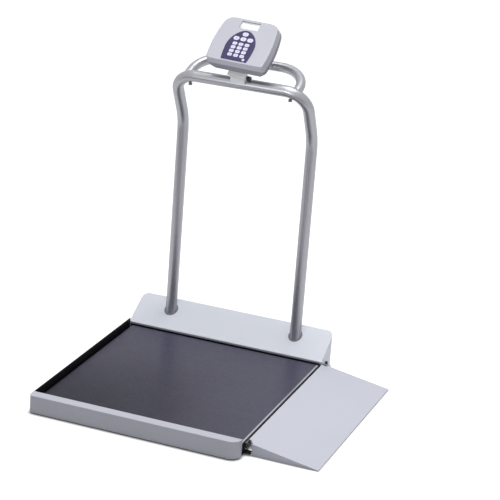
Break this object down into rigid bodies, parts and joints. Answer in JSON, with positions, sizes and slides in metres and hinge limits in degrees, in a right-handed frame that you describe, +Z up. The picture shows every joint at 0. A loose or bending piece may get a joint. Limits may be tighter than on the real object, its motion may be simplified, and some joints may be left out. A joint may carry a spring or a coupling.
{
  "type": "wheelchair platform scale",
  "caption": "Low weighing platform with a folding side ramp, a front curb, a rear console, a handrail with a rear loop and a tilting indicator with keypad.",
  "frame": {"origin": "on the floor, under the middle of the whole scale with the ramp down", "axes": "+X towards the ramp, +Y from the front curb towards the rear console, +Z up"},
  "size_m": [0.936, 0.876, 1.1516],
  "materials": {
    "silver_paint": "satin silver paint",
    "black_paint": "satin black paint",
    "mat_rubber": "fine ribbed rubber",
    "bright_metal": "bright extruded",
    "dark_plastic": "matte black",
    "zinc": "zinc plated",
    "black_rubber": "matte black",
    "pale_rubber": "matte pale grey",
    "tube_paint": "satin silver paint",
    "pale_metal": "satin pale grey paint",
    "casing": "fine matte pale lavender grey",
    "casing_rear": "fine matte grey",
    "display": "clear glossy window",
    "board": "green laminate",
    "overlay": "fine matte indigo film",
    "knob_plastic": "matte black",
    "cable_jacket": "matte black jacket",
    "cell_metal": "machined",
    "key_plastic": "matte near white"
  },
  "bodies": {
    "frame": {"base_frame": "black_paint", "front_curb": "silver_paint", "left_guard": "black_paint", "rear_console": "silver_paint", "deck_plate": "black_paint", "deck_mat": "mat_rubber", "deck_edge_trim": "bright_metal", "junction_box": "dark_plastic", "load_cell_1": "cell_metal", "load_cell_2": "cell_metal", "load_cell_3": "cell_metal", "load_cell_4": "cell_metal", "hinge_bracket_front": "zinc", "hinge_pin_front": "zinc", "hinge_bracket_rear": "zinc", "hinge_pin_rear": "zinc", "post_socket_left": "zinc", "post_socket_right": "zinc", "post_grommet_left": "pale_rubber", "post_grommet_right": "pale_rubber", "handrail": "tube_paint", "rear_loop": "tube_paint", "loop_screw_left": "zinc", "loop_screw_right": "zinc", "tilt_saddle": "pale_metal", "signal_cable": "cable_jacket"},
    "ramp": {"ramp_plate": "silver_paint"},
    "head": {"head_front_shell": "casing", "head_rear_shell": "casing_rear", "display_window": "display", "lcd_module": "dark_plastic", "circuit_board": "board", "keypad_overlay": "overlay", "battery_pack": "dark_plastic", "tilt_yoke": "pale_metal", "tilt_pin": "zinc"},
    "tilt_knob": {"tilt_knob": "knob_plastic"},
    "battery_door": {"battery_door": "casing_rear"},
    "levelling_foot_1": {"levelling_foot_1": "black_rubber"},
    "levelling_foot_2": {"levelling_foot_2": "black_rubber"},
    "levelling_foot_3": {"levelling_foot_3": "black_rubber"},
    "levelling_foot_4": {"levelling_foot_4": "black_rubber"},
    "key_power": {"key_power": "key_plastic"},
    "key_weigh": {"key_weigh": "key_plastic"},
    "key_tare": {"key_tare": "key_plastic"},
    "key_hold": {"key_hold": "key_plastic"},
    "key_1": {"key_1": "key_plastic"},
    "key_2": {"key_2": "key_plastic"},
    "key_3": {"key_3": "key_plastic"},
    "key_4": {"key_4": "key_plastic"},
    "key_5": {"key_5": "key_plastic"},
    "key_6": {"key_6": "key_plastic"},
    "key_7": {"key_7": "key_plastic"},
    "key_8": {"key_8": "key_plastic"},
    "key_9": {"key_9": "key_plastic"},
    "key_clear": {"key_clear": "key_plastic"},
    "key_0": {"key_0": "key_plastic"},
    "key_enter": {"key_enter": "key_plastic"},
    "key_light": {"key_light": "key_plastic"}
  },
  "joints": [
    {"name": "ramp_fold", "type": "hinge", "parent": "frame", "child": "ramp", "pos_m": [0.244, -0.0219, 0.036], "axis": [0, -1, 0], "range_deg": [0, 100]},
    {"name": "head_tilt", "type": "hinge", "parent": "frame", "child": "head", "pos_m": [-0.118, 0.2835, 0.978], "axis": [0.9914, -0.1305, 0], "range_deg": [-20, 30]},
    {"name": "tilt_knob_turn", "type": "hinge", "parent": "head", "child": "tilt_knob", "pos_m": [-0.118, 0.2835, 0.978], "axis": [0.9914, -0.1305, 0], "range_deg": [-180, 0]},
    {"name": "battery_door_pull", "type": "slide", "parent": "head", "child": "battery_door", "axis": [0.0915, 0.6949, -0.7133], "range_m": [0, 0.03]},
    {"name": "levelling_foot_1_turn", "type": "hinge", "parent": "frame", "child": "levelling_foot_1", "pos_m": [-0.416, -0.386, 0], "axis": [0, 0, 1], "range_deg": [-180, 180]},
    {"name": "levelling_foot_2_turn", "type": "hinge", "parent": "frame", "child": "levelling_foot_2", "pos_m": [-0.416, 0.386, 0], "axis": [0, 0, 1], "range_deg": [-180, 180]},
    {"name": "levelling_foot_3_turn", "type": "hinge", "parent": "frame", "child": "levelling_foot_3", "pos_m": [0.18, -0.386, 0], "axis": [0, 0, 1], "range_deg": [-180, 180]},
    {"name": "levelling_foot_4_turn", "type": "hinge", "parent": "frame", "child": "levelling_foot_4", "pos_m": [0.18, 0.386, 0], "axis": [0, 0, 1], "range_deg": [-180, 180]},
    {"name": "key_power_press", "type": "slide", "parent": "head", "child": "key_power", "axis": [0.0915, 0.6949, -0.7133], "range_m": [0, 0.0008], "stiffness_N_per_m": 400},
    {"name": "key_weigh_press", "type": "slide", "parent": "head", "child": "key_weigh", "axis": [0.0915, 0.6949, -0.7133], "range_m": [0, 0.0008], "stiffness_N_per_m": 400},
    {"name": "key_tare_press", "type": "slide", "parent": "head", "child": "key_tare", "axis": [0.0915, 0.6949, -0.7133], "range_m": [0, 0.0008], "stiffness_N_per_m": 400},
    {"name": "key_hold_press", "type": "slide", "parent": "head", "child": "key_hold", "axis": [0.0915, 0.6949, -0.7133], "range_m": [0, 0.0008], "stiffness_N_per_m": 400},
    {"name": "key_1_press", "type": "slide", "parent": "head", "child": "key_1", "axis": [0.0915, 0.6949, -0.7133], "range_m": [0, 0.0008], "stiffness_N_per_m": 400},
    {"name": "key_2_press", "type": "slide", "parent": "head", "child": "key_2", "axis": [0.0915, 0.6949, -0.7133], "range_m": [0, 0.0008], "stiffness_N_per_m": 400},
    {"name": "key_3_press", "type": "slide", "parent": "head", "child": "key_3", "axis": [0.0915, 0.6949, -0.7133], "range_m": [0, 0.0008], "stiffness_N_per_m": 400},
    {"name": "key_4_press", "type": "slide", "parent": "head", "child": "key_4", "axis": [0.0915, 0.6949, -0.7133], "range_m": [0, 0.0008], "stiffness_N_per_m": 400},
    {"name": "key_5_press", "type": "slide", "parent": "head", "child": "key_5", "axis": [0.0915, 0.6949, -0.7133], "range_m": [0, 0.0008], "stiffness_N_per_m": 400},
    {"name": "key_6_press", "type": "slide", "parent": "head", "child": "key_6", "axis": [0.0915, 0.6949, -0.7133], "range_m": [0, 0.0008], "stiffness_N_per_m": 400},
    {"name": "key_7_press", "type": "slide", "parent": "head", "child": "key_7", "axis": [0.0915, 0.6949, -0.7133], "range_m": [0, 0.0008], "stiffness_N_per_m": 400},
    {"name": "key_8_press", "type": "slide", "parent": "head", "child": "key_8", "axis": [0.0915, 0.6949, -0.7133], "range_m": [0, 0.0008], "stiffness_N_per_m": 400},
    {"name": "key_9_press", "type": "slide", "parent": "head", "child": "key_9", "axis": [0.0915, 0.6949, -0.7133], "range_m": [0, 0.0008], "stiffness_N_per_m": 400},
    {"name": "key_clear_press", "type": "slide", "parent": "head", "child": "key_clear", "axis": [0.0915, 0.6949, -0.7133], "range_m": [0, 0.0008], "stiffness_N_per_m": 400},
    {"name": "key_0_press", "type": "slide", "parent": "head", "child": "key_0", "axis": [0.0915, 0.6949, -0.7133], "range_m": [0, 0.0008], "stiffness_N_per_m": 400},
    {"name": "key_enter_press", "type": "slide", "parent": "head", "child": "key_enter", "axis": [0.0915, 0.6949, -0.7133], "range_m": [0, 0.0008], "stiffness_N_per_m": 400},
    {"name": "key_light_press", "type": "slide", "parent": "head", "child": "key_light", "axis": [0.0915, 0.6949, -0.7133], "range_m": [0, 0.0008], "stiffness_N_per_m": 400}
  ]
}
